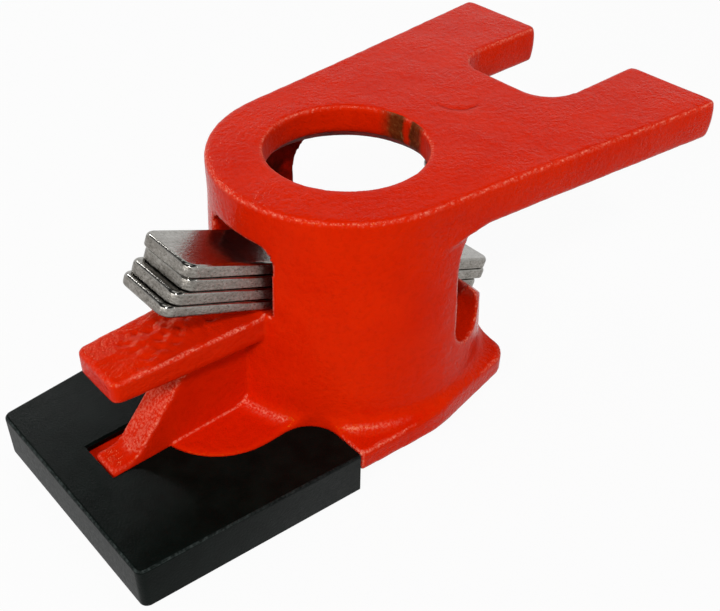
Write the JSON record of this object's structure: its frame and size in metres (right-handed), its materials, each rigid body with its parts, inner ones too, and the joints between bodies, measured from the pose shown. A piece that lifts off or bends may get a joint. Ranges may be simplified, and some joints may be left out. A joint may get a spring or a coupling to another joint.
{
  "type": "pipe clamp tail stop",
  "caption": "Sliding tail stop of an H-style pipe clamp: forked iron casting, tilting clutch plates with a release tongue, clutch spring and slip-on jaw cap.",
  "frame": {"origin": "on the pipe's axis at the mouth of the lower bore, in the plane of the base's underside", "axes": "+Z along the pipe from the jaw face to the foot plate, +X from the jaw to the forked foot"},
  "size_m": [0.1229, 0.0626, 0.0497],
  "materials": {
    "red_enamel": "glossy enamel over a sand-cast surface",
    "zinc_plate": "bright zinc plating on stamped steel",
    "spring_wire": "plain drawn spring wire",
    "cap_plastic": "satin moulded plastic"
  },
  "bodies": {
    "casting": {"casting": "red_enamel", "clutch_spring": "spring_wire"},
    "clutch_plate_1": {"clutch_plate_1": "zinc_plate"},
    "clutch_plate_2": {"clutch_plate_2": "zinc_plate"},
    "clutch_plate_3": {"clutch_plate_3": "zinc_plate"},
    "clutch_plate_4": {"clutch_plate_4": "zinc_plate"},
    "jaw_cap": {"jaw_cap": "cap_plastic"}
  },
  "joints": [
    {"name": "clutch_plate_1_tilt", "type": "hinge", "parent": "casting", "child": "clutch_plate_1", "pos_m": [-0.02319, 0, 0.03303], "axis": [0, -1, 0], "range_deg": [0, 19.02], "stiffness_Nm_per_rad": 0.4, "springref_deg": -20.05, "deforming": ["clutch_spring"]},
    {"name": "clutch_plate_2_tilt", "type": "hinge", "parent": "casting", "child": "clutch_plate_2", "pos_m": [-0.02319, 0, 0.03055], "axis": [0, -1, 0], "range_deg": [0, 19.02]},
    {"name": "clutch_plate_3_tilt", "type": "hinge", "parent": "casting", "child": "clutch_plate_3", "pos_m": [-0.02319, 0, 0.02808], "axis": [0, -1, 0], "range_deg": [0, 19.02]},
    {"name": "clutch_plate_4_tilt", "type": "hinge", "parent": "casting", "child": "clutch_plate_4", "pos_m": [-0.02319, 0, 0.0256], "axis": [0, -1, 0], "range_deg": [0, 19.02]},
    {"name": "jaw_cap_slide", "type": "slide", "parent": "casting", "child": "jaw_cap", "axis": [-1, 0, 0], "range_m": [0, 0.038]}
  ],
  "couplings": [
    {"joint": "clutch_plate_2_tilt", "follows": "clutch_plate_1_tilt", "ratio": 1},
    {"joint": "clutch_plate_3_tilt", "follows": "clutch_plate_1_tilt", "ratio": 1},
    {"joint": "clutch_plate_4_tilt", "follows": "clutch_plate_1_tilt", "ratio": 1}
  ]
}
